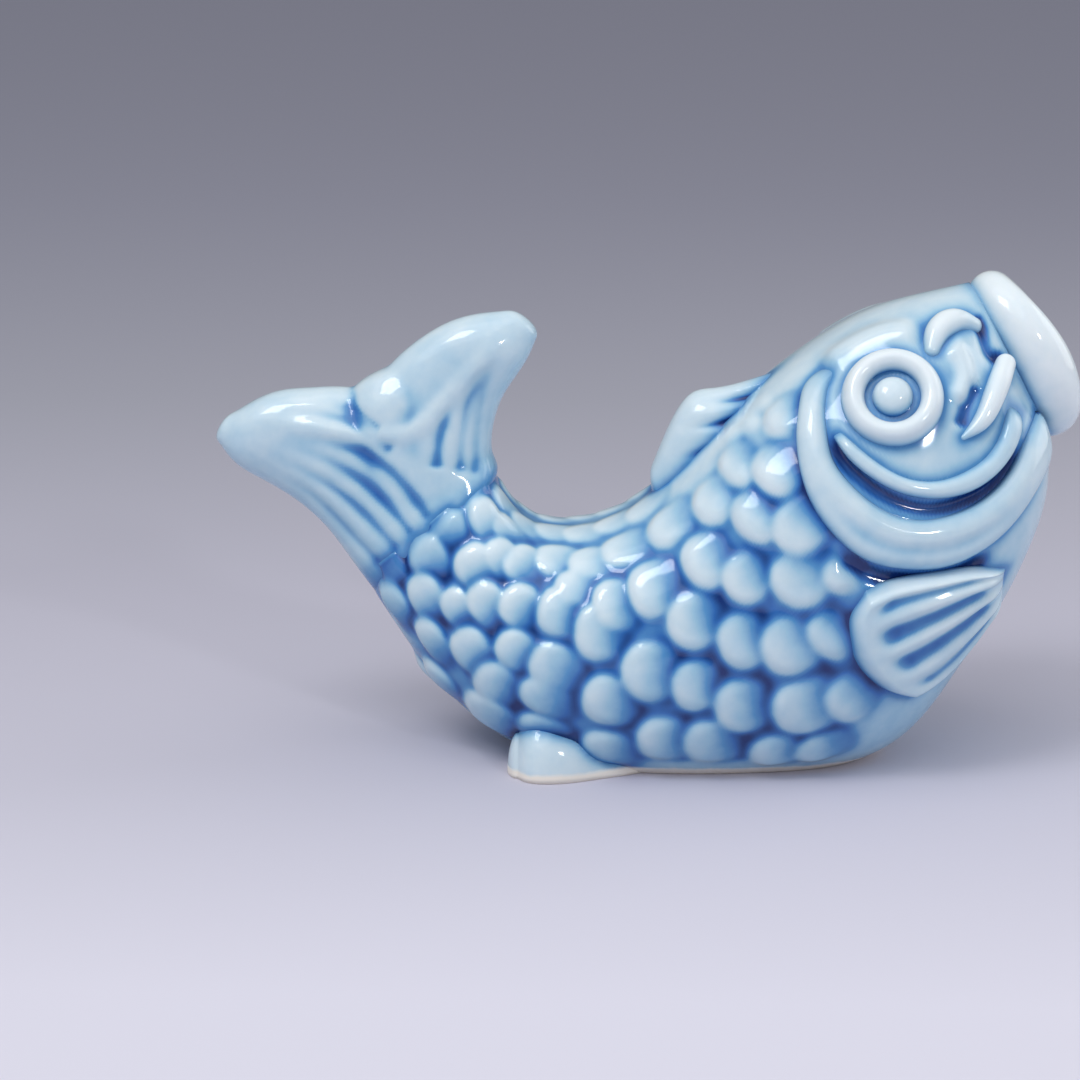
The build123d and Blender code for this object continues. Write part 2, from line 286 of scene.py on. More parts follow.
def push(bm: Mesh, lift: np.ndarray) -> None:
    """Moves the vertices along their normals.

    Args:
        bm: the mesh.
        lift: millimetres for each vertex.
    """
    normal = np.array([v.normal[:] for v in bm.verts])
    for vertex, place in zip(bm.verts, places_of(bm) + normal * lift[:, None]):
        vertex.co = place
    bm.normal_update()


def placed(name: str, data: bpy.types.ID) -> bpy.types.Object:
    """A new object in the scene, at the origin."""
    thing = bpy.data.objects.new(name, data)
    bpy.context.scene.collection.objects.link(thing)
    return thing


def evaluated(bm: Mesh, modifiers: list[tuple[str, dict[str, object]]]) -> Mesh:
    """Runs modifiers over a bmesh.

    Args:
        bm: the mesh, which is freed.
        modifiers: each modifier's type and settings.

    Returns:
        The new bmesh.
    """
    data = bpy.data.meshes.new("work")
    bm.to_mesh(data)
    bm.free()
    work = placed("work", data)
    for kind, settings in modifiers:
        modifier = work.modifiers.new(kind, kind)
        for name, value in settings.items():
            setattr(modifier, name, value)
    bpy.context.view_layer.update()
    shaped = bpy.data.meshes.new_from_object(work.evaluated_get(bpy.context.evaluated_depsgraph_get()))
    result = bmesh.new()
    result.from_mesh(shaped)
    bpy.data.objects.remove(work)
    bpy.data.meshes.remove(data)
    bpy.data.meshes.remove(shaped)
    return result


@dataclass
class Piece:
    """One visible piece: its mesh in millimetres, what it stands for and what it is made of.

    Its tone is added to the depth of its glaze, as a share.
    """

    name: str
    bm: Mesh
    nodes: tuple[str, ...]
    slot: Slot
    tone: float = 0.0
    thing: bpy.types.Object | None = None

    def build(self) -> None:
        """Makes the object, at the origin, with its place in its mesh."""
        for face in self.bm.faces:
            face.smooth = True
        data = bpy.data.meshes.new(self.name)
        bmesh.ops.scale(self.bm, vec=(MM, MM, MM), verts=self.bm.verts)
        self.bm.to_mesh(data)
        self.thing = placed(self.name, data)
        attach(self.thing, "root")
        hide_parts(*self.nodes)

    def mirrored(self, name: str, nodes: tuple[str, ...]) -> "Piece":
        """The same piece on the left flank.

        Args:
            name: its name there.
            nodes: the CAD nodes that it stands for.

        Returns:
            The new piece.
        """
        bm = self.bm.copy()
        bmesh.ops.scale(bm, vec=(1, -1, 1), verts=bm.verts)
        bmesh.ops.reverse_faces(bm, faces=bm.faces)
        bm.normal_update()
        return Piece(name, bm, nodes, self.slot, self.tone)


@dataclass(frozen=True)
class Fold:
    """A ridge or groove along a line of the flank, faded out over a share of it at both ends."""

    line: tuple[Spot, ...]
    width: float
    height: float
    ends: float = 0.18

    def lift(self, spots: np.ndarray) -> np.ndarray:
        """Height in millimetres that the fold adds at places of the side view."""
        reach, share = distance_to(along(places(self.line), 40), spots)
        fade = soft_ends(share, (0, self.ends), (0, self.ends)) if self.ends else 1.0
        return self.height * crest(reach, self.width) * fade


@dataclass(frozen=True)
class ScaleForm:
    """Form of one scale, which is low under the scale before it and high at its round free edge.

    Along the scale, a runs from -1 under the scale before it to 1 at the free edge. Across it, b runs
    from -1 to 1.
    """

    # Height in millimetres.
    relief: float = 0.95
    # Factors on a scale's length and width, by which it overlaps its neighbours.
    longer: float = 1.04
    broader: float = 1.16
    # How far a's zero lies towards the snout from the scale's middle, and a's unit, as shares of its length.
    ahead: float = 0.24
    reach: float = 0.78
    # Share of its height at the root, and how far its sides fall away.
    tucked: float = 0.12
    crown: float = 0.24
    # Share of its half size over which its edge comes up, and how square free edge and root are.
    shoulder: float = 0.40
    free_power: float = 2.3
    root_power: float = 3.0
    # Share of glaze that lies behind it, and share that its free edge loses.
    run_and_shade: float = 0.32
    bare_edge: float = 0.08
    # Near the back the scales are worn and merge.
    faint: float = 0.45
    faint_down_to: Spot = (0.04, 0.30)
    # Places along the scale between which it rises, glaze lies behind it and its free edge is bare.
    rises: Spot = (-1.0, 0.55)
    runs: Spot = (-0.75, 0.40)
    bares: Spot = (0.1, 0.8)

    def grid(self, offset: np.ndarray, ways: tuple[np.ndarray, np.ndarray], size: Spot) -> list[np.ndarray]:
        """Places on a scale.

        Args:
            offset: the skin's points from the scale's middle, in millimetres.
            ways: unit vectors along the scale and across it.
            size: its length and width.

        Returns:
            The places a and b.
        """
        a = (offset @ ways[0] / (size[0] * self.longer) + self.ahead) / self.reach
        return [a, offset @ ways[1] / (size[1] * self.broader / 2)]

    def read(self, a: np.ndarray, b: np.ndarray, down: float) -> tuple[np.ndarray, np.ndarray]:
        """Height of a scale, and how much glaze runs down behind it.

        Args:
            a: places along the scale.
            b: places across it.
            down: where it sits, as a share of the way from back to belly.

        Returns:
            Millimetres, and the share of glaze to add.
        """
        soft = self.faint + (1 - self.faint) * float(smoothstep(*self.faint_down_to, down))
        free, root = rounded_square(a, b, self.free_power), rounded_square(a, b, self.root_power)
        inside = smoothstep(0, self.shoulder, 1 - np.where(a > 0, free, root))
        plate = self.tucked + (1 - self.tucked) * smoothstep(*self.rises, a)
        lift = self.relief * soft * plate * (1 - self.crown * b * b) * inside
        behind = soft * self.run_and_shade * (1 - smoothstep(*self.runs, a))
        return lift, behind - self.bare_edge * smoothstep(*self.bares, a)


@dataclass
class Casting:
    """The hollow body with its scales and the folds of its head."""

    ribs: list[Rib]
    scales: list[tuple[float, float, float, float]]
    folds: tuple[Fold, ...] = ()
    rows: int = 290
    columns: int = 165
    form: ScaleForm = ScaleForm()
    # Spread of the blur that the glaze gives the scales, in cells of the grid.
    softness: float = 1.4
    # How far off a scale's own plane the skin still belongs to it.
    scale_depth: float = 5.0
    # How far past its edge a scale is read, as a multiple of its size.
    margin: float = 1.3
    # Sideways parts of the normal between which the folds of the flank come up.
    sideways: Spot = (0.15, 0.5)
    # Gaps that close the seam in the middle plane.
    mirror_gap: float = 0.02
    seam_gap: float = 0.01
    # The tail end dips under the tail fin.
    tail_sink: float = 0.6
    tail_sink_from: float = 0.975
    opening_length: float = 36.0
    opening_width: float = 12.0
    opening_middle: float = 5.0
    opening_depth: float = 1.2

    def skin(self) -> BVHTree:
        """The bare skin of the right flank, for setting pieces on."""
        bm = sheet_of(Loft(self.ribs).half(self.rows, self.columns))
        bmesh.ops.recalc_face_normals(bm, faces=bm.faces)
        tree = BVHTree.FromBMesh(bm)
        bm.free()
        return tree

    def scale_heights(self, grid: np.ndarray, normal: np.ndarray) -> tuple[np.ndarray, np.ndarray]:
        """Height of the scales over the skin, and how much glaze runs down behind each.

        Args:
            grid: the bare skin's points.
            normal: its normals.

        Returns:
            Millimetres, rows by columns, and the share of glaze to add.
        """
        tailwards = np.gradient(grid, axis=0)
        height, tint = np.zeros(grid.shape[:2]), np.zeros(grid.shape[:2])
        for u, v, *size in self.scales:
            spot = int(u * (self.rows - 1)), int(v * (self.columns - 1))
            tailward = tailwards[spot] / np.linalg.norm(tailwards[spot])
            across = np.cross(normal[spot], tailward)
            for flip in ((1, 1, 1), (1, -1, 1)):
                offset = grid * flip - grid[spot]
                a, b = self.form.grid(offset, (tailward, across), size)
                near = (np.abs(a) < self.margin) & (np.abs(b) < self.margin)
                near = near & (np.abs(offset @ normal[spot]) < self.scale_depth)
                lift, run_and_shade = self.form.read(a, b, v)
                higher = near & (lift > height)
                height, tint = np.where(higher, lift, height), np.where(higher, run_and_shade, tint)
        return height, tint

    def mesh(self) -> Mesh:
        """The whole body, standing flat, with the opening for the foot slab."""
        grid = Loft(self.ribs).half(self.rows, self.columns)
        normal = normals_of(grid)
        height, tint = [blur(part, self.softness) for part in self.scale_heights(grid, normal)]
        spots = grid[..., [0, 2]].reshape(-1, 2)
        sideways = smoothstep(*self.sideways, np.abs(normal[..., 1]))
        for fold in self.folds:
            height = height + fold.lift(spots).reshape(height.shape) * sideways
        tail = smoothstep(self.tail_sink_from, 1.0, np.linspace(0, 1, self.rows))
        height = height - self.tail_sink * tail[:, None]
        bm = sheet_of(grid + normal * height[..., None])
        layer = bm.verts.layers.float.new("tint")
        for vertex, value in zip(bm.verts, tint.ravel()):
            vertex[layer] = value
        geometry = bm.verts[:] + bm.edges[:] + bm.faces[:]
        bmesh.ops.mirror(bm, geom=geometry, axis="Y", merge_dist=self.mirror_gap)
        bmesh.ops.remove_doubles(bm, verts=bm.verts, dist=self.seam_gap)
        self.foot(bm)
        close(bm)
        return bm

    def foot(self, bm: Mesh) -> None:
        """Cuts the body flat on the table and turns the cut inwards, round the slab's opening.

        Args:
            bm: the whole body's mesh.
        """
        cut_flat(bm)
        rim = [e for e in bm.edges if e.is_boundary and max(abs(v.co.z) for v in e.verts) < SLIVER]
        straight = (self.opening_length - self.opening_width) / 2
        for rise in (0.0, self.opening_depth):
            turned = bmesh.ops.extrude_edge_only(bm, edges=rim)["geom"]
            rim = [e for e in turned if isinstance(e, bmesh.types.BMEdge)]
            for vertex in {v for e in rim for v in e.verts}:
                if not rise:
                    past = max(-straight, min(straight, vertex.co.x - self.opening_middle))
                    spine = Vector((self.opening_middle + past, 0, 0))
                    out = Vector((vertex.co.x, vertex.co.y, 0)) - spine
                    vertex.co = spine + out.normalized() * self.opening_width / 2
                vertex.co.z = rise


@dataclass
class Flank:
    """The bare right flank, which the relief of the head and the fins is laid on."""

    tree: BVHTree
    # Places to the side: one well outside the flank, and one near it.
    outside: float = -60.0
    beside: float = -8.0

    def seat(self, x: float, z: float) -> tuple[Vector, Vector]:
        """A point of the flank.

        Args:
            x: its place along the carp, in millimetres.
            z: its height.

        Returns:
            The point and its outward normal.
        """
        point, normal, _, _ = self.tree.ray_cast(Vector((x, self.outside, z)), Vector((0, 1, 0)))
        if point is None:
            point, normal, _, _ = self.tree.find_nearest(Vector((x, self.beside, z)))
        return point, normal if normal.y < 0 else -normal

    def lay(self, spots: np.ndarray, heights: np.ndarray) -> np.ndarray:
        """Lifts places of the side view off the flank.

        Args:
            spots: rows by columns by 2, in millimetres.
            heights: rows by columns, in millimetres.

        Returns:
            Points, rows by columns by 3.
        """
        result = np.zeros((*heights.shape, 3))
        for at in np.ndindex(heights.shape):
            point, normal = self.seat(*spots[at])
            result[at] = point + normal * heights[at]
        return result


@dataclass
class Band:
    """A swelling between two lines of the flank, such as a gill cover or a cheek."""

    rear: list[Spot]
    front: list[Spot]
    relief: float
    rows: int = 200
    columns: int = 34
    # How far its edges dip under the skin.
    dip: float = 0.5
    # Shares of its length over which its two ends run out.
    fade: Spot = (0.12, 0.12)
    squareness: float = 2.4
    # A shallow furrow along it: depth, and place and width as shares of the band's.
    furrow: float = 0.0
    furrow_place: float = 0.42
    furrow_width: float = 0.17
    furrow_start: Spot = (0.25, 0.45)
    furrow_stop: Spot = (0.1, 0.35)

    def mesh(self, flank: Flank) -> Mesh:
        """Lays the band on the flank, its edges dipping under the skin.

        Args:
            flank: what it is laid on.

        Returns:
            The closed piece.
        """
        rear, front = along(places(self.rear), self.rows), along(places(self.front), self.rows)
        t, s = np.linspace(0, 1, self.columns), np.linspace(0, 1, self.rows)[:, None]
        spots = rear[:, None] * (1 - t)[None, :, None] + front[:, None] * t[None, :, None]
        swell = np.clip(1 - np.abs(2 * t - 1) ** self.squareness, 0, 1)[None, :]
        rise = soft_ends(s, (0, self.fade[0]), (0, self.fade[1]))
        ends = np.sqrt(np.clip(1 - (1 - rise) ** 2, 0, 1))
        sunk = np.exp(-(((t - self.furrow_place) / self.furrow_width) ** 2))[None, :]
        sunk = sunk * soft_ends(s, self.furrow_start, self.furrow_stop)
        heights = (self.relief + self.dip) * np.sqrt(swell) * ends - self.dip - self.furrow * sunk
        return closed_sheet(flank.lay(spots, heights))


@dataclass
class Fan:
    """The pectoral fin: a raised leaf with rays that fan out from its root."""

    top: list[Spot]
    bottom: list[Spot]
    relief: float
    rays: int = 4
    groove: float = 0.68
    rows: int = 110
    columns: int = 100
    dip: float = 0.6
    # Shares by which the tip's two corners are cut back, and how broad they are.
    corners: Spot = (0.10, 0.06)
    corner_width: float = 0.10
    # How far the tip bows out, and which way.
    bow: float = 3.0
    bow_way: Spot = (-0.95, -0.4)
    bow_start: float = 0.3
    rim: Spot = (0.0, 0.10)
    root: float = 0.25
    ray_sharpness: float = 2.5
    ray_border: Spot = (0.03, 0.14)
    ray_start: Spot = (0.05, 0.35)
    ray_stop: Spot = (0.10, 0.26)

    def spots(self, s: np.ndarray, t: np.ndarray) -> np.ndarray:
        """Where the fin's points lie in the side view.

        Args:
            s: shares of the way from the root to the tip, one a row.
            t: shares of the way from the top edge to the bottom edge, one a column.

        Returns:
            Rows by columns by 2, in millimetres.
        """
        top, bottom = along(places(self.top), self.rows), along(places(self.bottom), self.rows)
        first, last = [np.exp(-((part / self.corner_width) ** 2)) for part in (t, 1 - t)]
        row = s * (1 - self.corners[0] * first - self.corners[1] * last) * (self.rows - 1)
        low = np.clip(row.astype(int), 0, self.rows - 2)
        part = (row - low)[..., None]
        upper = top[low] * (1 - part) + top[low + 1] * part
        lower = bottom[low] * (1 - part) + bottom[low + 1] * part
        bow = np.sin(math.pi * t) * smoothstep(self.bow_start, 1.0, s) * self.bow
        return upper * (1 - t[..., None]) + lower * t[..., None] + bow[..., None] * self.bow_way

    def mesh(self, flank: Flank) -> Mesh:
        """Lays the fin on the flank, with its rays parted by grooves.

        Args:
            flank: what it is laid on.

        Returns:
            The closed piece.
        """
        t, s = np.linspace(0, 1, self.columns)[None, :], np.linspace(0, 1, self.rows)[:, None]
        rim = np.minimum(soft_ends(t, self.rim, self.rim), smoothstep(*self.rim, 1 - s))
        rim = np.sqrt(rim * smoothstep(0, self.root, s))
        valley = 1 - np.abs(np.cos(math.pi * self.rays * t)) ** self.ray_sharpness
        valley = valley * soft_ends(t, self.ray_border, self.ray_border)
        fade = soft_ends(s, self.ray_start, self.ray_stop)
        heights = (self.relief + self.dip) * rim - self.dip - self.groove * valley * fade
        return closed_sheet(flank.lay(self.spots(s, t), heights))


@dataclass
class Fin:
    """A fin that stands free: lobes lofted from its root, joined, with grooves between its rays."""

    lobes: list[list[Rib]]
    grooves: list[list[Spot]]
    groove_width: float
    groove_depth: float
    ridges: tuple[Fold, ...] = ()
    bulge: float = 1.2
    voxel: float = 0.4
    smoothing: int = 18
    rows: int = 90
    columns: int = 72
    # Share of a groove over which it starts, and where it begins to fade, and by how much.
    groove_start: float = 0.08
    groove_fades: float = 0.45
    groove_fade: float = 0.9
    # Sideways parts of the normal between which the grooves come up.
    sideways: Spot = (0.25, 0.7)

    def mesh(self) -> Mesh:
        """Joins the lobes and presses the grooves into both faces."""
        whole = bmesh.new()
        for ribs in self.lobes:
            lobe = closed_sheet(domed(Loft(ribs).ring(self.rows, self.columns), self.bulge))
            data = bpy.data.meshes.new("lobe")
            lobe.to_mesh(data)
            lobe.free()
            whole.from_mesh(data)
            bpy.data.meshes.remove(data)
        joined = {"mode": "VOXEL", "voxel_size": self.voxel}
        softened = {"factor": 0.5, "iterations": self.smoothing}
        bm = evaluated(whole, [("REMESH", joined), ("SMOOTH", softened)])
        bm.normal_update()
        self.groove(bm)
        return bm

    def groove(self, bm: Mesh) -> None:
        """Presses the grooves in, deepest near the root, where the skin looks sideways.

        Args:
            bm: the joined lobes.
        """
        spots = places_of(bm)[:, [0, 2]]
        sideways = smoothstep(*self.sideways, np.abs(np.array([v.normal.y for v in bm.verts])))
        lift = np.zeros(len(spots))
        for groove in self.grooves:
            reach, share = distance_to(along(places(groove), 30), spots)
            fade = 1 - smoothstep(self.groove_fades, 1.0, share) * self.groove_fade
            fade = fade * smoothstep(0, self.groove_start, share)
            lift -= self.groove_depth * fade * crest(reach, self.groove_width)
        lift = np.maximum(lift, -self.groove_depth)
        for ridge in self.ridges:
            lift += ridge.lift(spots)
        push(bm, lift * sideways)


@dataclass(frozen=True)
class Turned:
    """A piece turned about the eye's axis, from a profile of radius and height."""

    profile: tuple[Spot, ...]
    steps: int = 96

    def mesh(self, seat: Vector, out: Vector) -> Mesh:
        """Spins the profile about an axis that stands on the flank.

        Args:
            seat: foot of the axis.
            out: direction of the axis.

        Returns:
            The closed piece.
        """
        bm = bmesh.new()
        side = out.cross(Vector((0, 0, 1))).normalized()
        line = along(np.array(self.profile), 30)
        chain = [bm.verts.new(seat + side * float(r) + out * float(h)) for r, h in line]
        edges = [bm.edges.new(pair) for pair in zip(chain[:-1], chain[1:])]
        turn = {"angle": math.tau, "steps": self.steps, "use_merge": True, "dvec": (0, 0, 0)}
        bmesh.ops.spin(bm, geom=chain + edges, cent=seat, axis=out, **turn)
        close(bm)
        return bm


@dataclass
class Coil:
    """A roll of clay laid on the flank and tapered towards its ends."""

    line: list[Spot]
    radii: tuple[float, ...]
    # How far its middle stands off the skin at each point of its line.
    lifts: tuple[float, ...]
    rows: int = 48
    columns: int = 24
    end_steps: int = 5

    def mesh(self, flank: Flank) -> Mesh:
        """Sweeps a ring along the line.

        Args:
            flank: what the line lies on.

        Returns:
            The closed piece.
        """
        seats = [flank.seat(*spot) for spot in places(self.line)]
        path = along(np.array([p + n * lift for (p, n), lift in zip(seats, self.lifts)]), self.rows)
        up = along(np.array([n[:] for _, n in seats]), self.rows)
        knots = np.linspace(0, 1, len(self.radii))
        radius = spline(knots, np.array(self.radii)[:, None], np.linspace(0, 1, self.rows))
        way = np.gradient(path, axis=0)
        way /= np.linalg.norm(way, axis=1, keepdims=True)
        side = np.cross(way, up)
        side /= np.linalg.norm(side, axis=1, keepdims=True)
        up = np.cross(side, way)
        turn = np.linspace(0, math.tau, self.columns + 1)[None, :, None]
        ring = path[:, None] + radius[:, None] * (side[:, None] * np.cos(turn) + up[:, None] * np.sin(turn))
        tipped = domed(ring, float(radius[-1][0]), self.end_steps)
        return closed_sheet(domed(tipped[::-1], float(radius[0][0]), self.end_steps))


@dataclass(frozen=True)
class Lips:
    """The thick soft ring of the lips, round the open mouth.

    The outer and inner sizes are half its height and half its width.
    """

    rib: Rib
    outer: Spot = (12.4, 9.2)
    inner: Spot = (4.6, 2.6)
    thick: float = 3.8
    ahead: float = 1.9
    # How far the mouth's corners stand forward.
    bow: float = 1.7
    # How much thinner the upper lip is than the mean, as a share.
    taper: float = 0.14
    steps: int = 96
    round_steps: int = 60

    def mesh(self) -> Mesh:
        """Turns the ring's round section about the mouth, whose corners stand forward."""
        back, belly = places([self.rib[0:2], self.rib[2:4]])
        rise = (back - belly) / np.linalg.norm(back - belly)
        rise, way = np.array([rise[0], 0, rise[1]]), np.array([rise[1], 0, -rise[0]])
        middle = (back + belly) / 2
        centre = np.array([middle[0], 0, middle[1]]) + way * self.ahead
        turn = np.linspace(0, math.tau, self.steps + 1)[None, :, None]
        roll = np.linspace(0, math.tau, self.round_steps + 1)[:, None, None]
        plump = 1 - self.taper * np.cos(turn)
        tall, wide = [o - (o - i) / 2 * plump * (1 - np.cos(roll)) for o, i in zip(self.outer, self.inner)]
        front = self.thick * plump * np.sin(roll) + self.bow * np.sin(turn) ** 2
        side = np.array([0, -1, 0])
        return closed_sheet(centre + rise * tall * np.cos(turn) + side * wide * np.sin(turn) + way * front)


@dataclass
class PelvicFin:
    """A lobe that lies on the table and widens the foot."""

    stations: list[tuple[float, float, float, float]]
    dimples: list[tuple[float, float, float, float]]
    bulge: float = 1.6
    rows: int = 70
    columns: int = 72
    # Heights between which the dimples run out towards the table.
    dimple_foot: Spot = (0.5, 2.5)

    def mesh(self) -> Mesh:
        """Lofts upright half rounds from the root to the rounded tip and presses the dimples in."""
        line = along(np.array(self.stations) * (LENGTH, WIDTH, WIDTH, HEIGHT), self.rows)
        x, y, half, tall = [line[:, k : k + 1] for k in range(4)]
        turn = np.linspace(0, math.tau, self.columns + 1)[None, :]
        ring = [x + 0 * turn, -y + half * np.cos(turn), tall * np.sin(turn)]
        bm = closed_sheet(domed(np.stack(ring, axis=2), self.bulge))
        co = places_of(bm)
        lift = np.zeros(len(co))
        for px, py, radius, depth in self.dimples:
            reach = np.hypot(co[:, 0] - px * LENGTH, co[:, 1] + py * WIDTH)
            lift -= depth * np.exp(-((reach / radius) ** 2))
        push(bm, lift * smoothstep(*self.dimple_foot, co[:, 2]))
        cut_flat(bm)
        close(bm)
        return bm


def vectors(data: bpy.types.Mesh, what: str) -> np.ndarray:
    """The vertices' co or normal, one a row."""
    values = np.zeros(len(data.vertices) * 3)
    data.vertices.foreach_get(what, values)
    return values.reshape(-1, 3)


def smoothed(co: np.ndarray, edges: np.ndarray, rounds: int) -> np.ndarray:
    """Averages each vertex with its neighbours, over and over.

    Args:
        co: the vertices' places, one a row.
        edges: pairs of vertices, one a row.
        rounds: how often.

    Returns:
        The new places.
    """
    near, far = edges.T
    count = np.maximum(np.bincount(edges.ravel(), minlength=len(co)), 1)[:, None]
    for _ in range(rounds):
        sums = [
            np.bincount(near, weights=part[far], minlength=len(co))
            + np.bincount(far, weights=part[near], minlength=len(co))
            for part in co.T
        ]
        co = co * 0.5 + np.stack(sums, axis=1) / count * 0.5
    return co


def hollows(data: bpy.types.Mesh, spread: float) -> np.ndarray:
    """How deep each vertex lies below the skin around it.

    Args:
        data: the mesh, in metres.
        spread: how wide a stretch of skin to compare it with, in millimetres.

    Returns:
        Millimetres, more than 0 in a hollow and less on a ridge.
    """
    co = vectors(data, "co") / MM
    edges = np.zeros(len(data.edges) * 2, np.int32)
    data.edges.foreach_get("vertices", edges)
    edges = edges.reshape(-1, 2)
    step = np.median(np.linalg.norm(co[edges[:, 0]] - co[edges[:, 1]], axis=1))
    rounds = int(np.clip((spread / step) ** 2 * 4, 2, 260))
    return ((smoothed(co, edges, rounds) - co) * vectors(data, "normal")).sum(axis=1)


@dataclass(frozen=True)
class Pooling:
    """Where the tinted glaze gathers: in hollows, at seams and behind scales.

    Painted shade and light are added to it: bluer on faces turned down, paler on faces turned up. It is also
    bluer towards the foot. The depth is a share, from 0 where the glaze is thin and white to 1 where it is
    deep blue.
    """

    even: float = 0.34
    # Millimetres of skin that a hollow is measured against, with the share that a millimetre adds.
    hollow_spreads: tuple[Spot, ...] = ((0.9, 1.7), (2.4, 1.1))
    deepest: float = 0.44
    palest: float = 0.17
    pale_ridge: float = 0.30
    seam: float = 0.42
    seam_mm: float = 1.0
    seam_power: float = 1.4
    seam_reach_mm: float = 4.0
    # Painted shade on faces turned down and painted light on faces turned up, as shares.
    below: float = 0.10
    above: float = 0.05
    # A bluer share towards the foot, and the height by which it has faded out.
    low_down: float = 0.10
    low_down_mm: float = 45.0

    def gaps(self, piece: Piece, shells: dict[str, tuple[BVHTree, np.ndarray]]) -> np.ndarray:
        """How far each vertex of a piece lies from the nearest other piece.

        Args:
            piece: the piece.
            shells: every piece's tree and its places, under its name.

        Returns:
            Metres, at most the seam's reach.
        """
        reach = self.seam_reach_mm * MM
        own = shells[piece.name][1]
        low, high = own.min(axis=0) - reach, own.max(axis=0) + reach
        others = [
            tree
            for name, (tree, co) in shells.items()
            if name != piece.name and all(co.min(axis=0) < high) and all(low < co.max(axis=0))
        ]
        gaps = np.full(len(piece.thing.data.vertices), reach)
        for i, vertex in enumerate(piece.thing.data.vertices):
            for tree in others:
                found = tree.find_nearest(vertex.co, gaps[i])
                if found[0] is not None:
                    gaps[i] = found[3]
        return gaps

    def write(self, pieces: list[Piece]) -> None:
        """Stores the depth of the glaze on every piece.

        Args:
            pieces: the built pieces.
        """
        shells = {}
        for piece in pieces:
            mesh = bmesh.new()
            mesh.from_mesh(piece.thing.data)
            shells[piece.name] = (BVHTree.FromBMesh(mesh), vectors(piece.thing.data, "co"))
            mesh.free()
        for piece in pieces:
            data = piece.thing.data
            sag = sum(hollows(data, spread) * gain for spread, gain in self.hollow_spreads)
            ridge = self.palest * np.tanh(sag / self.pale_ridge)
            sag = np.where(sag > 0, self.deepest * np.tanh(sag / self.deepest), ridge)
            meet = np.exp(-((self.gaps(piece, shells) / MM / self.seam_mm) ** self.seam_power))
            upright = vectors(data, "normal")[:, 2]
            # Bluer towards the foot.
            low_down = 1 - smoothstep(0, self.low_down_mm * MM, vectors(data, "co")[:, 2])
            # Painted shade and light: bluer where the skin faces down, paler where it faces up.
            run_and_shade = self.below * np.clip(-upright, 0, 1) - self.above * np.clip(upright, 0, 1)
            tint = np.zeros(len(data.vertices))
            if "tint" in data.attributes:
                data.attributes["tint"].data.foreach_get("value", tint)
            depth = self.even + sag + meet * self.seam + run_and_shade + self.low_down * low_down + tint + piece.tone
            layer = data.attributes.new("pool_and_shade", "FLOAT", "POINT")
            layer.data.foreach_set("value", np.clip(depth, 0, 1).astype(np.float32))


def linear(code: str) -> tuple[float, float, float, float]:
    """Linear colour from an sRGB hex value."""
    parts = [int(code[i : i + 2], 16) / 255 for i in (1, 3, 5)]
    return (*[p / 12.92 if p <= 0.04045 else ((p + 0.055) / 1.055) ** 2.4 for p in parts], 1.0)


def add_node(
    tree: bpy.types.NodeTree,
    kind: str,
    inputs: dict[str | int, object] | None = None,
    links: dict[str | int, bpy.types.NodeSocket] | None = None,
    **settings: object,
) -> bpy.types.Node:
    """Adds a node with its settings and links.

    Args:
        tree: the node tree.
        kind: the node's type, without its ShaderNode prefix.
        inputs: values of its input sockets.
        links: sockets that feed its inputs.
        settings: properties of the node.

    Returns:
        The node.
    """
    node = tree.nodes.new("ShaderNode" + kind)
    for name, value in settings.items():
        setattr(node, name, value)
    for name, value in (inputs or {}).items():
        node.inputs[name].default_value = value
    for name, socket in (links or {}).items():
        tree.links.new(socket, node.inputs[name])
    return node


def ramp(node: bpy.types.Node, stops: tuple[tuple[float, str], ...]) -> None:
    """Sets a colour ramp's stops.

    Args:
        node: the colour ramp.
        stops: each stop's place and sRGB hex value.
    """
    band = node.color_ramp
    while len(band.elements) < len(stops):
        band.elements.new(0.5)
    for element, (place, code) in zip(band.elements, stops):
        element.position = place
        element.color = linear(code)


def empty_tree(owner: bpy.types.Material | bpy.types.World) -> bpy.types.NodeTree:
    """The node tree of a new material or world, without its nodes."""
    owner.use_nodes = True
    owner.node_tree.nodes.clear()
    return owner.node_tree


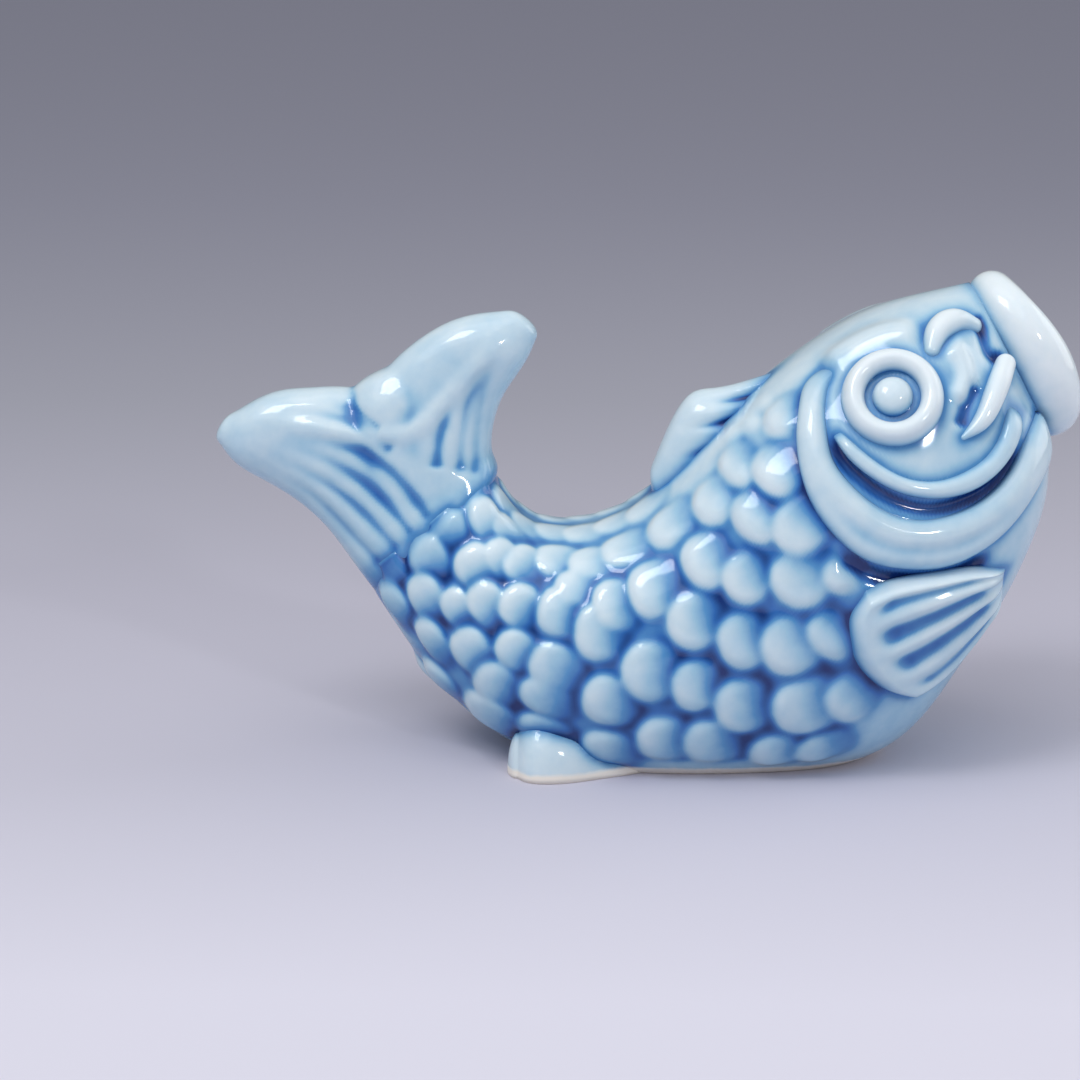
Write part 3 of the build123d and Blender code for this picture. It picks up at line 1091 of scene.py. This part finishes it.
@dataclass(frozen=True)
class CobaltGlaze:
    """Clear feldspar glaze tinted with cobalt, over white porcelain.

    Dipped and fired, it runs thin and almost white on ridges and pools deep blue in hollows. It is wiped
    off the foot, where the bare porcelain shows as a matt, warm rim.
    """

    name: str = "cobalt_glaze_on_porcelain"
    stops: tuple[tuple[float, str], ...] = (
        (0.00, "#E6F0F5"),
        (0.16, "#CFE2EC"),
        (0.34, "#A0C8E0"),
        (0.55, "#5A97CB"),
        (0.76, "#316BB4"),
        (1.00, "#0E2C6C"),
    )
    biscuit: str = "#F4EEE4"
    # Broad cloudiness of the dip and fine streaks of the run, with the share of depth that each varies.
    wash_mm: float = 9.0
    wash: float = 0.16
    streak_mm: float = 2.2
    streak: float = 0.12
    # Height over which the glaze begins, and how ragged its edge is.
    wiped_mm: Spot = (1.1, 1.8)
    ragged_mm: float = 0.6
    gloss: float = 0.09
    matt: float = 0.6
    glow: float = 0.12
    glow_mm: float = 1.6

    def make(self) -> bpy.types.Material:
        """Builds the material."""
        material = bpy.data.materials.new(self.name)
        tree = empty_tree(material)
        place = add_node(tree, "TexCoord").outputs["Object"]
        # Depth of the glaze, with the painted shade that Pooling adds.
        depth = add_node(tree, "Attribute", attribute_name="pool_and_shade").outputs["Fac"]
        noises = (self.wash_mm, 2.0), (self.streak_mm, 3.0)
        sizes = [{"Scale": 1 / (mm * MM), "Detail": detail} for mm, detail in noises]
        wash, streak = [add_node(tree, "TexNoise", size, {"Vector": place}).outputs[0] for size in sizes]
        for cloud, share in ((wash, self.wash), (streak, self.streak)):
            varied = add_node(tree, "Math", {1: share, 2: -share / 2}, {0: cloud}, operation="MULTIPLY_ADD")
            depth = add_node(tree, "Math", {}, {0: depth, 1: varied.outputs[0]}, operation="ADD").outputs[0]
        colour = add_node(tree, "ValToRGB", {}, {0: depth})
        ramp(colour, self.stops)
        height = add_node(tree, "SeparateXYZ", {}, {0: place}).outputs["Z"]
        ragged = add_node(
            tree, "Math", {1: self.ragged_mm * MM}, {0: streak, 2: height}, operation="MULTIPLY_ADD"
        ).outputs[0]
        low, high = [edge * MM for edge in self.wiped_mm]
        glazed = add_node(
            tree, "MapRange", {1: low, 2: high, 3: 0.0, 4: 1.0}, {0: ragged}, interpolation_type="SMOOTHSTEP"
        ).outputs[0]
        coat = add_node(
            tree, "Mix", {6: linear(self.biscuit)}, {0: glazed, 7: colour.outputs[0]}, data_type="RGBA"
        ).outputs[2]
        dulls = {1: 0.0, 2: 1.0, 3: self.matt, 4: self.gloss}
        dull = add_node(tree, "MapRange", dulls, {0: glazed}).outputs[0]
        body = {"IOR": 1.5, "Subsurface Weight": self.glow, "Subsurface Scale": self.glow_mm * MM}
        body["Subsurface Radius"] = (0.7, 0.85, 1.0)
        shader = add_node(tree, "BsdfPrincipled", body, {"Base Color": coat, "Roughness": dull})
        add_node(tree, "OutputMaterial", {}, {"Surface": shader.outputs[0]})
        return material


@dataclass(frozen=True)
class Biscuit:
    """Unglazed fired porcelain of the foot slab, which stays matt, finely grained and slightly warm."""

    name: str = "unglazed_porcelain"
    shades: tuple[tuple[float, str], ...] = ((0.3, "#DDD3C2"), (0.7, "#E9E1D2"))
    grain_mm: float = 0.5
    grain_depth_mm: float = 0.2

    def make(self) -> bpy.types.Material:
        """Builds the material."""
        material = bpy.data.materials.new(self.name)
        tree = empty_tree(material)
        place = add_node(tree, "TexCoord").outputs["Object"]
        size = {"Scale": 1 / (self.grain_mm * MM), "Detail": 4.0}
        grain = add_node(tree, "TexNoise", size, {"Vector": place}).outputs[0]
        colour = add_node(tree, "ValToRGB", {}, {0: grain})
        ramp(colour, self.shades)
        pits = {"Strength": 0.25, "Distance": self.grain_depth_mm * MM}
        bump = add_node(tree, "Bump", pits, {"Height": grain}).outputs[0]
        skin = {"Base Color": colour.outputs[0], "Normal": bump}
        shader = add_node(tree, "BsdfPrincipled", {"Roughness": 0.75}, skin)
        add_node(tree, "OutputMaterial", {}, {"Surface": shader.outputs[0]})
        return material


@dataclass(frozen=True)
class PaperBackdrop:
    """Matt paper sheet of the table, with painted shade: its tone falls off towards the back, where the light
    fades.

    Each shade belongs to how steeply the camera looks down on the paper: its height over the distance.
    """

    name: str = "paper_backdrop"
    shades: tuple[tuple[float, str], ...] = (
        (0.040, "#90909F"),
        (0.118, "#9A9AA9"),
        (0.197, "#A7A7B3"),
        (0.280, "#BBB9C7"),
        (0.357, "#C7C5D3"),
        (0.456, "#D8D6E3"),
    )
    camera_back_mm: float = 346.0
    camera_height_mm: float = 118.0
    nearest_mm: float = 120.0

    def make(self) -> bpy.types.Material:
        """Builds the material."""
        material = bpy.data.materials.new(self.name)
        tree = empty_tree(material)
        place = add_node(tree, "TexCoord").outputs["Object"]
        socket = add_node(tree, "SeparateXYZ", {}, {0: place}).outputs["Y"]
        for operation, size in (("ADD", self.camera_back_mm), ("MAXIMUM", self.nearest_mm)):
            socket = add_node(tree, "Math", {1: size * MM}, {0: socket}, operation=operation).outputs[0]
        height = self.camera_height_mm * MM
        steep = add_node(tree, "Math", {0: height}, {1: socket}, operation="DIVIDE").outputs[0]
        # Painted shade: the paper is darker the farther it lies from the camera.
        shade = add_node(tree, "ValToRGB", {}, {0: steep})
        ramp(shade, self.shades)
        matt = {"Roughness": 0.9, "Specular IOR Level": 0.1}
        shader = add_node(tree, "BsdfPrincipled", matt, {"Base Color": shade.outputs[0]})
        add_node(tree, "OutputMaterial", {}, {"Surface": shader.outputs[0]})
        return material


@dataclass(frozen=True)
class SoftBox:
    """A square soft box that faces the carp: its place and side in metres, and its power in watts."""

    name: str
    place: tuple[float, float, float]
    side: float
    watts: float

    def build(self) -> None:
        """Sets the lamp up."""
        data = bpy.data.lights.new(self.name, "AREA")
        data.energy, data.size = self.watts, self.side
        thing = placed(self.name, data)
        thing.location = self.place
        carp = Vector((0, 0, 0.03))
        thing.rotation_euler = (Vector(self.place) - carp).to_track_quat("Z", "Y").to_euler()


@dataclass
class Studio:
    """The table, the lamps and the camera."""

    # The camera: degrees, lens and sensor in millimetres, and what it looks at.
    elevation: float = 14.0
    lens: float = 85.0
    sensor: float = 36.0
    distance: float = 357.0
    middle: tuple[float, float, float] = (0.0, 0.0, 31.6)
    # Pixels, of a frame this wide, by which the camera is turned to the left and down from it.
    aside_pixels: Spot = (106.0, 13.0)
    frame_pixels: int = 1080
    # The table is half this wide and lies just under the foot.
    table_half: float = 8.0
    table_drop_mm: float = 0.05
    sun_turn: tuple[float, float, float] = (24, -16, 0)
    sun_strength: float = 0.80
    sun_angle: float = 60
    boxes: tuple[SoftBox, ...] = (
        SoftBox("key_box", (-0.25, -0.30, 0.55), 0.22, 1.2),
        SoftBox("front_box", (0.30, -0.50, 0.30), 0.05, 0.5),
        SoftBox("rim_box", (0.45, 0.10, 0.22), 0.35, 0.6),
    )
    sky: str = "#F2F4F8"
    # Strength of the light from the horizon and from straight above.
    sky_strengths: Spot = (0.10, 0.66)

    def build(self) -> None:
        """Sets the table, the lamps, the world and the camera."""
        self.table()
        self.sun()
        for box in self.boxes:
            box.build()
        self.world()
        self.camera()

    def camera(self) -> None:
        """Puts the camera where the photograph was taken from."""
        elevation = math.radians(self.elevation)
        back = Vector((0, -math.cos(elevation), math.sin(elevation)))
        data = bpy.data.cameras.new("camera")
        data.lens, data.sensor_width = self.lens, self.sensor
        data.clip_start, data.clip_end = 0.01, 20
        thing = placed("camera", data)
        thing.location = (Vector(self.middle) + back * self.distance) * MM
        thing.rotation_euler = back.to_track_quat("Z", "Y").to_euler()
        focal = self.lens / self.sensor * self.frame_pixels
        yaw, pitch = [math.atan(aside / focal) for aside in self.aside_pixels]
        thing.rotation_euler.z += yaw
        thing.rotation_euler.x -= pitch
        bpy.context.scene.camera = thing

    def table(self) -> None:
        """A wide plain table covered with paper."""
        bm = bmesh.new()
        bmesh.ops.create_grid(bm, x_segments=2, y_segments=2, size=self.table_half)
        data = bpy.data.meshes.new("table")
        bm.to_mesh(data)
        bm.free()
        thing = placed("table", data)
        thing.location.z = -self.table_drop_mm * MM
        data.materials.append(PaperBackdrop().make())

    def sun(self) -> None:
        """A very soft sun for the even light."""
        data = bpy.data.lights.new("sun", "SUN")
        data.energy, data.angle = self.sun_strength, math.radians(self.sun_angle)
        placed("sun", data).rotation_euler = [math.radians(a) for a in self.sun_turn]

    def world(self) -> None:
        """Even light from all round, brighter from above."""
        world = bpy.data.worlds.new("studio")
        bpy.context.scene.world = world
        tree = empty_tree(world)
        way = add_node(tree, "TexCoord").outputs["Generated"]
        height = add_node(tree, "SeparateXYZ", {}, {0: way}).outputs["Z"]
        low, high = self.sky_strengths
        strength = add_node(tree, "MapRange", {1: 0.0, 2: 1.0, 3: low, 4: high}, {0: height}).outputs[0]
        light = add_node(tree, "Background", {"Color": linear(self.sky)}, {"Strength": strength})
        add_node(tree, "OutputWorld", {}, {"Surface": light.outputs[0]})


# Back point and belly point of each rib, and its half width, as shares: see Loft.
TRUNK_RIBS = [
    (0.367, 0.961, 0.463, 0.655, 0.195),
    (0.324, 0.942, 0.463, 0.559, 0.305),
    (0.262, 0.910, 0.448, 0.452, 0.402),
    (0.193, 0.842, 0.421, 0.342, 0.476),
    (0.118, 0.736, 0.371, 0.193, 0.500),
    (0.051, 0.613, 0.290, 0.020, 0.500),
    (-0.007, 0.514, 0.140, -0.051, 0.476),
    (-0.083, 0.464, -0.055, -0.045, 0.439),
    (-0.135, 0.481, -0.189, 0.058, 0.366),
    (-0.166, 0.539, -0.267, 0.201, 0.280),
    (-0.174, 0.593, -0.329, 0.364, 0.195),
]
# Each scale: share of the way from snout to tail, share from back to belly, length and width in
# millimetres.
SCALES = [
    (0.28, 0.17, 4.5, 6.0), (0.33, 0.25, 4.5, 7.5), (0.35, 0.36, 6.0, 7.5), (0.39, 0.43, 6.5, 8.5),
    (0.34, 0.48, 4.0, 4.5), (0.45, 0.51, 7.0, 8.5), (0.40, 0.54, 4.5, 7.5), (0.48, 0.63, 7.5, 9.0),
    (0.43, 0.66, 5.0, 7.5), (0.49, 0.75, 6.0, 6.0), (0.37, 0.18, 4.0, 7.5), (0.39, 0.29, 4.5, 8.0),
    (0.45, 0.36, 5.0, 7.0), (0.50, 0.46, 5.5, 8.0), (0.54, 0.59, 6.0, 8.5), (0.53, 0.73, 6.0, 6.5),
    (0.43, 0.20, 5.0, 7.0), (0.49, 0.29, 5.0, 8.0), (0.55, 0.39, 6.0, 8.0), (0.58, 0.52, 5.5, 7.5),
    (0.59, 0.67, 6.5, 8.0), (0.59, 0.29, 5.5, 8.0), (0.63, 0.47, 6.5, 8.5), (0.64, 0.65, 6.0, 7.5),
    (0.69, 0.36, 5.5, 8.5), (0.69, 0.54, 6.0, 7.5), (0.75, 0.32, 5.5, 7.5), (0.76, 0.48, 6.0, 7.0),
    (0.77, 0.57, 6.0, 6.0), (0.81, 0.48, 5.0, 6.0), (0.83, 0.62, 5.5, 7.5), (0.83, 0.75, 7.0, 8.0),
    (0.98, 0.53, 5.5, 6.0), (0.91, 0.36, 5.5, 6.5), (0.95, 0.61, 5.5, 6.0), (0.91, 0.52, 4.5, 5.0),
    (1.00, 0.70, 5.0, 4.5), (0.97, 0.78, 5.0, 5.0), (0.92, 0.70, 5.5, 5.0), (0.93, 0.21, 6.0, 5.0),
    (0.99, 0.41, 5.0, 5.5), (0.82, 0.35, 5.0, 6.5), (0.83, 0.22, 4.5, 6.5), (0.52, 0.17, 5.5, 6.5),
    (0.56, 0.06, 5.5, 6.0), (0.62, 0.16, 5.5, 6.0), (0.63, 0.05, 5.5, 6.0), (0.69, 0.18, 5.5, 6.0),
    (0.70, 0.06, 5.5, 6.0), (0.76, 0.17, 5.5, 6.0), (0.77, 0.05, 5.5, 6.0), (0.84, 0.07, 5.0, 5.5),
    (0.88, 0.16, 5.0, 5.0), (0.90, 0.06, 5.0, 5.0), (0.87, 0.26, 5.0, 5.5), (0.87, 0.42, 5.5, 6.0),
    (0.87, 0.58, 5.5, 6.5), (0.70, 0.69, 6.0, 6.5), (0.77, 0.69, 6.0, 6.0), (0.89, 0.83, 5.5, 5.5),
    (0.90, 0.95, 5.5, 5.0), (0.66, 0.30, 5.0, 7.5), (0.72, 0.25, 5.0, 6.0),
]
# Lines of the side view, as shares of length and height.
GILL_REAR = [
    (0.200, 0.822), (0.185, 0.799), (0.176, 0.778), (0.171, 0.745), (0.168, 0.704), (0.173, 0.623),
    (0.188, 0.562), (0.214, 0.508), (0.247, 0.468), (0.288, 0.452), (0.331, 0.452), (0.360, 0.467),
    (0.392, 0.497), (0.415, 0.532), (0.433, 0.570), (0.450, 0.612), (0.462, 0.655),
]
GILL_FRONT = [
    (0.222, 0.832), (0.210, 0.806), (0.203, 0.781), (0.200, 0.755), (0.201, 0.710), (0.207, 0.663),
    (0.225, 0.621), (0.255, 0.579), (0.287, 0.555), (0.313, 0.551), (0.343, 0.560), (0.378, 0.585),
    (0.405, 0.627), (0.423, 0.681), (0.434, 0.714), (0.445, 0.745),
]
CHEEK_REAR = [
    (0.205, 0.705), (0.222, 0.665), (0.247, 0.630), (0.277, 0.603), (0.307, 0.590), (0.340, 0.590),
    (0.371, 0.606), (0.396, 0.638), (0.414, 0.685), (0.421, 0.735),
]
CHEEK_FRONT = [
    (0.214, 0.715), (0.236, 0.684), (0.261, 0.653), (0.289, 0.630), (0.321, 0.624), (0.351, 0.637),
    (0.376, 0.662), (0.391, 0.697), (0.399, 0.735), (0.404, 0.757),
]
PECTORAL_TOP = [(0.412, 0.430), (0.372, 0.446), (0.320, 0.444), (0.270, 0.430), (0.226, 0.398)]
PECTORAL_BOTTOM = [(0.405, 0.405), (0.385, 0.335), (0.362, 0.262), (0.334, 0.205), (0.292, 0.172)]
# Ribs of the fins that stand free, as those of the trunk.
LOWER_LOBE = [
    (-0.169, 0.566, -0.300, 0.290, 0.205),
    (-0.174, 0.597, -0.331, 0.364, 0.198),
    (-0.238, 0.638, -0.360, 0.435, 0.160),
    (-0.322, 0.735, -0.403, 0.509, 0.135),
    (-0.387, 0.741, -0.446, 0.555, 0.120),
    (-0.443, 0.722, -0.480, 0.596, 0.100),
    (-0.475, 0.690, -0.493, 0.628, 0.060),
]
UPPER_LOBE = [
    (-0.170, 0.560, -0.290, 0.400, 0.172),
    (-0.176, 0.638, -0.325, 0.620, 0.160),
    (-0.168, 0.704, -0.304, 0.765, 0.135),
    (-0.154, 0.751, -0.254, 0.848, 0.120),
    (-0.133, 0.807, -0.201, 0.890, 0.100),
    (-0.124, 0.845, -0.158, 0.900, 0.060),
]
TAIL_WEB = [
    (-0.172, 0.600, -0.310, 0.400, 0.185),
    (-0.200, 0.665, -0.340, 0.520, 0.168),
    (-0.225, 0.725, -0.352, 0.640, 0.148),
    (-0.245, 0.775, -0.345, 0.705, 0.125),
    (-0.262, 0.790, -0.335, 0.738, 0.095),
]
DORSAL = [
    (0.183, 0.800, 0.200, 0.740, 0.035),
    (0.131, 0.770, 0.167, 0.638, 0.085),
    (0.085, 0.748, 0.144, 0.555, 0.110),
    (0.053, 0.735, 0.103, 0.493, 0.115),
    (0.028, 0.668, 0.063, 0.462, 0.105),
    (0.010, 0.590, 0.030, 0.455, 0.080),
]
# Grooves between the rays, from the root outwards.
TAIL_GROOVES = [
    [(-0.300, 0.665), (-0.312, 0.686), (-0.342, 0.714), (-0.393, 0.729)],
    [(-0.281, 0.629), (-0.323, 0.674), (-0.380, 0.700), (-0.426, 0.698)],
    [(-0.240, 0.485), (-0.287, 0.589), (-0.338, 0.636), (-0.400, 0.658)],
    [(-0.258, 0.455), (-0.305, 0.544), (-0.350, 0.599), (-0.415, 0.638)],
    [(-0.276, 0.425), (-0.323, 0.507), (-0.368, 0.564), (-0.425, 0.612)],
    [(-0.298, 0.392), (-0.341, 0.462), (-0.380, 0.527), (-0.433, 0.588)],
    [(-0.192, 0.570), (-0.189, 0.674), (-0.177, 0.775), (-0.152, 0.858)],
    [(-0.209, 0.580), (-0.205, 0.674), (-0.191, 0.765), (-0.165, 0.850)],
    [(-0.236, 0.593), (-0.230, 0.674), (-0.209, 0.765)],
]
TAIL_RIDGE = Fold(
    ((-0.148, 0.868), (-0.218, 0.745), (-0.268, 0.668), (-0.343, 0.666), (-0.436, 0.683)), 3.4, 0.45
)
DORSAL_GROOVES = [
    [(0.165, 0.765), (0.110, 0.738), (0.060, 0.725)],
    [(0.160, 0.730), (0.105, 0.695), (0.045, 0.675)],
    [(0.155, 0.690), (0.100, 0.645), (0.035, 0.615)],
    [(0.150, 0.650), (0.095, 0.595), (0.030, 0.555)],
    [(0.135, 0.610), (0.085, 0.550), (0.030, 0.500)],
]
# Place along the carp, place to the side, half width and height, as shares.
PELVIC_STATIONS = [
    (0.030, 0.215, 0.035, 0.030),
    (0.000, 0.240, 0.080, 0.060),
    (-0.050, 0.275, 0.120, 0.095),
    (-0.095, 0.305, 0.140, 0.120),
    (-0.125, 0.315, 0.125, 0.112),
    (-0.140, 0.312, 0.085, 0.080),
]
HEAD_FOLDS = (
    # Brow over the eye, and the crease above it
    Fold(((0.196, 0.812), (0.217, 0.843), (0.242, 0.868), (0.277, 0.884), (0.308, 0.880)), 3.2, 1.0),
    Fold(((0.165, 0.815), (0.198, 0.856), (0.228, 0.892), (0.268, 0.915)), 2.4, -0.5),
    # Groove between the gill cover and the cheek
    Fold(((0.203, 0.735), (0.210, 0.680), (0.235, 0.630), (0.270, 0.590), (0.313, 0.570), (0.352, 0.580),
          (0.390, 0.612), (0.412, 0.665), (0.424, 0.715)), 2.8, -1.0),
    # Crease under the gill cover
    Fold(((0.205, 0.490), (0.244, 0.448), (0.288, 0.430), (0.331, 0.430), (0.365, 0.447),
          (0.400, 0.485)), 3.4, -1.0),
    # Fold below the nostril, and the hollow and the slit beside it
    Fold(((0.334, 0.870), (0.347, 0.846), (0.353, 0.806), (0.341, 0.760)), 3.0, 0.8),
    Fold(((0.366, 0.800), (0.356, 0.765), (0.345, 0.715)), 2.6, -0.7),
    Fold(((0.362, 0.915), (0.373, 0.885), (0.381, 0.848), (0.398, 0.827)), 1.8, -0.6),
    # Hollow of the eye's socket
    Fold(((0.2719, 0.777), (0.2721, 0.777)), 9.0, -0.4, 0.0),
    # Rays of the dorsal fin that run out on the flank
    Fold(((0.145, 0.759), (0.1, 0.719), (0.05, 0.687)), 2.2, 0.7),
    Fold(((0.133, 0.722), (0.088, 0.68), (0.029, 0.648)), 2.2, 0.7),
    Fold(((0.11, 0.688), (0.066, 0.643), (0.01, 0.607)), 2.2, 0.7),
)
# Place of the eye in millimetres, and profiles of radius and height.
EYE_PLACE = (32.6, 53.6)
EYE_RIM = (
    (3.7, -2.5), (3.65, -0.4), (3.85, 0.9), (4.6, 1.75), (5.5, 1.8), (6.3, 1.0), (6.7, -0.3), (6.75, -2.5),
)
EYE_PUPIL = ((2.7, -2.5), (2.7, -0.6), (2.55, 0.5), (2.0, 1.35), (1.0, 1.8), (0.002, 1.92))
BARBEL = [(0.397, 0.822), (0.391, 0.800), (0.381, 0.762), (0.370, 0.728), (0.350, 0.700)]
NOSTRIL = [(0.316, 0.858), (0.325, 0.890), (0.343, 0.905), (0.366, 0.900)]
# Place along the carp and to the side, as shares, radius and depth in millimetres.
PELVIC_DIMPLES = [(-0.040, 0.300, 3.0, 0.9), (-0.088, 0.340, 2.4, 0.7), (0.000, 0.260, 2.0, 0.7)]


def main() -> None:
    """Builds the brush rest and the studio round it."""
    logging.basicConfig(level=logging.INFO, format="%(name)s: %(message)s")
    bpy.context.scene.view_settings.view_transform = "Standard"
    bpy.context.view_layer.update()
    casting = Casting(TRUNK_RIBS, SCALES, HEAD_FOLDS)
    flank = Flank(casting.skin())
    eye, out = flank.seat(*EYE_PLACE)
    tail = Fin([LOWER_LOBE, UPPER_LOBE, TAIL_WEB], TAIL_GROOVES, 2.6, 0.34, (TAIL_RIDGE,))
    dorsal = Fin([DORSAL], DORSAL_GROOVES, 1.9, 0.8, voxel=0.3, smoothing=14)
    gill = Band(GILL_REAR, GILL_FRONT, 1.6, fade=(0.22, 0.07), furrow=0.35)
    cheek = Band(CHEEK_REAR, CHEEK_FRONT, 1.3, 120, 24)
    barbel = Coil(BARBEL, (1.4, 1.55, 1.45, 1.15, 0.4), (0.5, 0.5, 0.4, 0.2, -0.1))
    nostril = Coil(NOSTRIL, (1.1, 1.7, 1.8, 1.2), (-0.3, -0.1, -0.2, -0.7))
    pieces = [
        Piece("glazed_body", casting.mesh(), ("body",), Slot.COBALT),
        Piece("glazed_tail", tail.mesh(), ("tail_fin",), Slot.COBALT, 0.05),
        Piece("glazed_dorsal_fin", dorsal.mesh(), ("dorsal_fin",), Slot.COBALT),
        Piece("glazed_lips", Lips(TRUNK_RIBS[0]).mesh(), ("lips",), Slot.WHITE, -0.16),
    ]
    paired = [
        ("gill_cover", gill.mesh(flank), Slot.COBALT, -0.05),
        ("cheek", cheek.mesh(flank), Slot.COBALT, -0.05),
        ("pectoral_fin", Fan(PECTORAL_TOP, PECTORAL_BOTTOM, 2.3).mesh(flank), Slot.COBALT, -0.06),
        ("pelvic_fin", PelvicFin(PELVIC_STATIONS, PELVIC_DIMPLES).mesh(), Slot.WHITE, -0.10),
        ("eye_rim", Turned(EYE_RIM).mesh(eye, out), Slot.WHITE, -0.14),
        ("eye_pupil", Turned(EYE_PUPIL).mesh(eye, out), Slot.WHITE, -0.04),
        ("barbel", barbel.mesh(flank), Slot.WHITE, -0.18),
        ("nostril_fold", nostril.mesh(flank), Slot.WHITE, -0.16),
    ]
    for name, mesh, slot, tone in paired:
        right = Piece(f"glazed_{name}_right", mesh, (f"{name}_right",), slot, tone)
        pieces += [right, right.mirrored(f"glazed_{name}_left", (f"{name}_left",))]
    for piece in pieces:
        piece.build()
    Pooling().write(pieces)
    glaze = CobaltGlaze().make()
    for piece in pieces:
        piece.thing.data.materials.append(glaze)
        triangles = sum(len(p.vertices) - 2 for p in piece.thing.data.polygons)
        log.info("%s: %d triangles", piece.name, triangles)
    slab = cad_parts["foot_slab"]
    slab.data.materials.clear()
    slab.data.materials.append(Biscuit().make())
    Studio().build()


if __name__ == "__main__":
    main()
